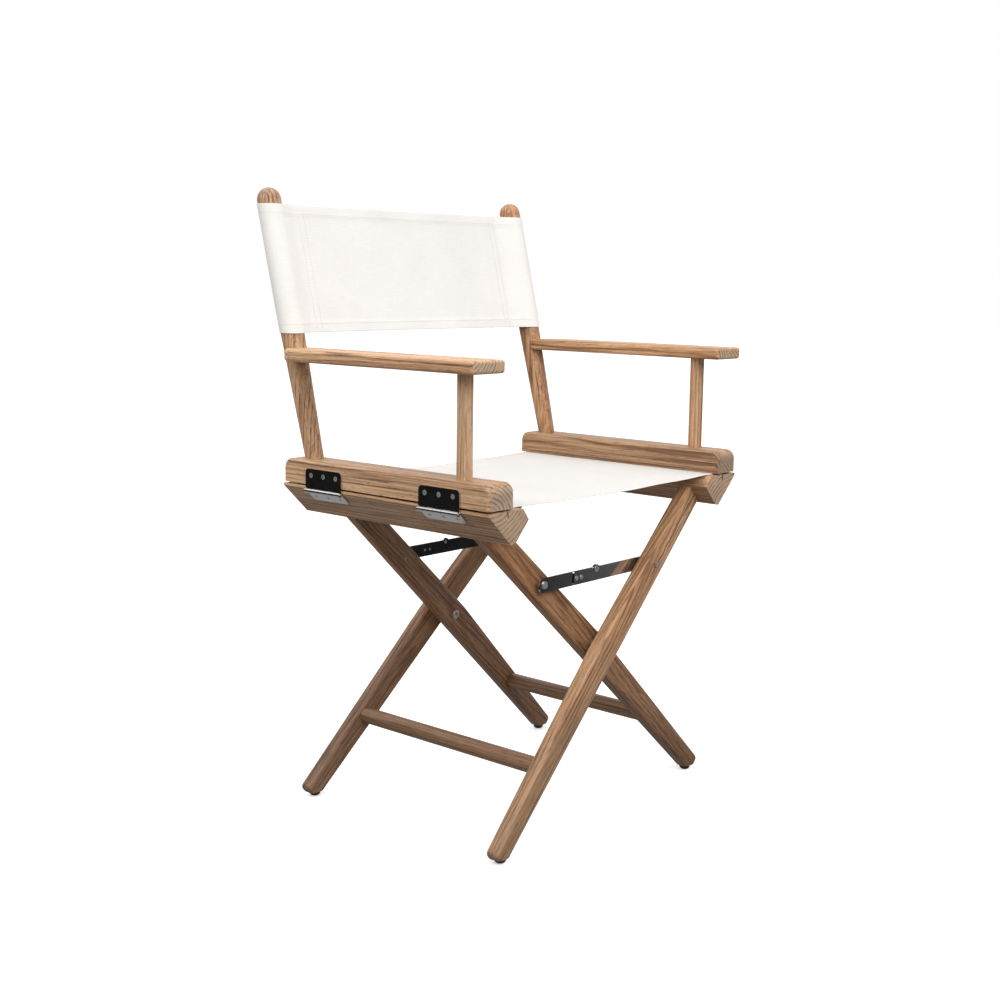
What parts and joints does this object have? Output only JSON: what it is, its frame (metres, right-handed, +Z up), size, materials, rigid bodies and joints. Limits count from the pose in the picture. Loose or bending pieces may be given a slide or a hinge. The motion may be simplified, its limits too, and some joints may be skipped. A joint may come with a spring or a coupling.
{
  "type": "director chair",
  "caption": "Folding timber chair with crossed legs, arms on hinged bases, sling canvas seat and sleeved canvas back.",
  "frame": {"origin": "on the floor, under the middle of the overall box", "axes": "+X to the sitter's left, front of the chair toward -Y, +Z up"},
  "size_m": [0.5842, 0.4444, 0.8509],
  "materials": {
    "timber": "sanded, unvarnished hardwood",
    "pad_rubber": "matt black",
    "canvas": "heavy plain-weave off-white canvas",
    "rod": "plain",
    "steel": "polished stainless steel"
  },
  "bodies": {
    "pivot": {"pivot_bolt_front": "steel", "pivot_bolt_rear": "steel", "pivot_spacer_front": "steel", "pivot_spacer_rear": "steel", "seat_canvas": "canvas"},
    "frame_a": {"leg_a_front": "timber", "leg_a_rear": "timber", "seat_rail_left": "timber", "stretcher_a": "timber", "foot_pad_a_front": "pad_rubber", "foot_pad_a_rear": "pad_rubber", "seat_rod_left": "rod", "hinge_lower_leaf_left_front": "steel", "hinge_lower_leaf_left_rear": "steel", "hinge_lower_screws_left": "steel", "stay_bolt_a_front": "steel", "stay_bolt_a_rear": "steel"},
    "frame_b": {"leg_b_front": "timber", "leg_b_rear": "timber", "seat_rail_right": "timber", "stretcher_b": "timber", "foot_pad_b_front": "pad_rubber", "foot_pad_b_rear": "pad_rubber", "seat_rod_right": "rod", "hinge_lower_leaf_right_front": "steel", "hinge_lower_leaf_right_rear": "steel", "hinge_lower_screws_right": "steel", "stay_bolt_b_front": "steel", "stay_bolt_b_rear": "steel"},
    "arm_left": {"arm_base_left": "timber", "front_post_left": "timber", "back_post_left": "timber", "arm_left": "timber", "hinge_upper_leaf_left_front": "steel", "hinge_upper_leaf_left_rear": "steel", "hinge_pin_left_front": "steel", "hinge_pin_left_rear": "steel", "hinge_upper_screws_left": "steel"},
    "arm_right": {"arm_base_right": "timber", "front_post_right": "timber", "back_post_right": "timber", "arm_right": "timber", "hinge_upper_leaf_right_front": "steel", "hinge_upper_leaf_right_rear": "steel", "hinge_pin_right_front": "steel", "hinge_pin_right_rear": "steel", "hinge_upper_screws_right": "steel", "back_canvas": "canvas"},
    "stay_front_b": {"stay_bar_b_front": "steel", "stay_lap_plate_front": "steel", "stay_lap_rivets_front": "steel", "stay_mid_pin_front": "steel"},
    "stay_front_a": {"stay_bar_a_front": "steel", "stay_rivet_a_front": "steel"},
    "stay_rear_b": {"stay_bar_b_rear": "steel", "stay_lap_plate_rear": "steel", "stay_lap_rivets_rear": "steel", "stay_mid_pin_rear": "steel"},
    "stay_rear_a": {"stay_bar_a_rear": "steel", "stay_rivet_a_rear": "steel"}
  },
  "joints": [
    {"name": "fold_a", "type": "hinge", "parent": "pivot", "child": "frame_a", "pos_m": [0, -0.03425, 0.235], "axis": [0, -1, 0], "range_deg": [0, 40], "deforming": ["seat_canvas"]},
    {"name": "fold_b", "type": "hinge", "parent": "pivot", "child": "frame_b", "pos_m": [0, -0.03425, 0.235], "axis": [0, -1, 0], "range_deg": [-40, 0]},
    {"name": "arm_left_hinge", "type": "hinge", "parent": "frame_a", "child": "arm_left", "pos_m": [0.2747, -0.03425, 0.4485], "axis": [0, -1, 0], "range_deg": [-40, 0]},
    {"name": "arm_right_hinge", "type": "hinge", "parent": "frame_b", "child": "arm_right", "pos_m": [-0.2747, -0.03425, 0.4485], "axis": [0, -1, 0], "range_deg": [0, 40], "deforming": ["back_canvas"]},
    {"name": "stay_front_end", "type": "hinge", "parent": "frame_b", "child": "stay_front_b", "pos_m": [-0.10984, -0.1758, 0.336], "axis": [0, -1, 0], "range_deg": [-43.34, 0]},
    {"name": "stay_front_mid", "type": "hinge", "parent": "stay_front_b", "child": "stay_front_a", "pos_m": [0, -0.1758, 0.3425], "axis": [0, -1, 0], "range_deg": [0, 166.67]},
    {"name": "stay_rear_end", "type": "hinge", "parent": "frame_b", "child": "stay_rear_b", "pos_m": [-0.10984, 0.1073, 0.336], "axis": [0, -1, 0], "range_deg": [-43.34, 0]},
    {"name": "stay_rear_mid", "type": "hinge", "parent": "stay_rear_b", "child": "stay_rear_a", "pos_m": [0, 0.1073, 0.3425], "axis": [0, -1, 0], "range_deg": [0, 166.67]}
  ],
  "couplings": [
    {"joint": "fold_b", "follows": "fold_a", "ratio": -1},
    {"joint": "arm_left_hinge", "follows": "fold_a", "ratio": -1},
    {"joint": "arm_right_hinge", "follows": "fold_a", "ratio": 1},
    {"joint": "stay_front_end", "follows": "fold_a", "ratio": -1.0832},
    {"joint": "stay_front_mid", "follows": "fold_a", "ratio": 4.1664},
    {"joint": "stay_rear_end", "follows": "fold_a", "ratio": -1.0832},
    {"joint": "stay_rear_mid", "follows": "fold_a", "ratio": 4.1664}
  ]
}
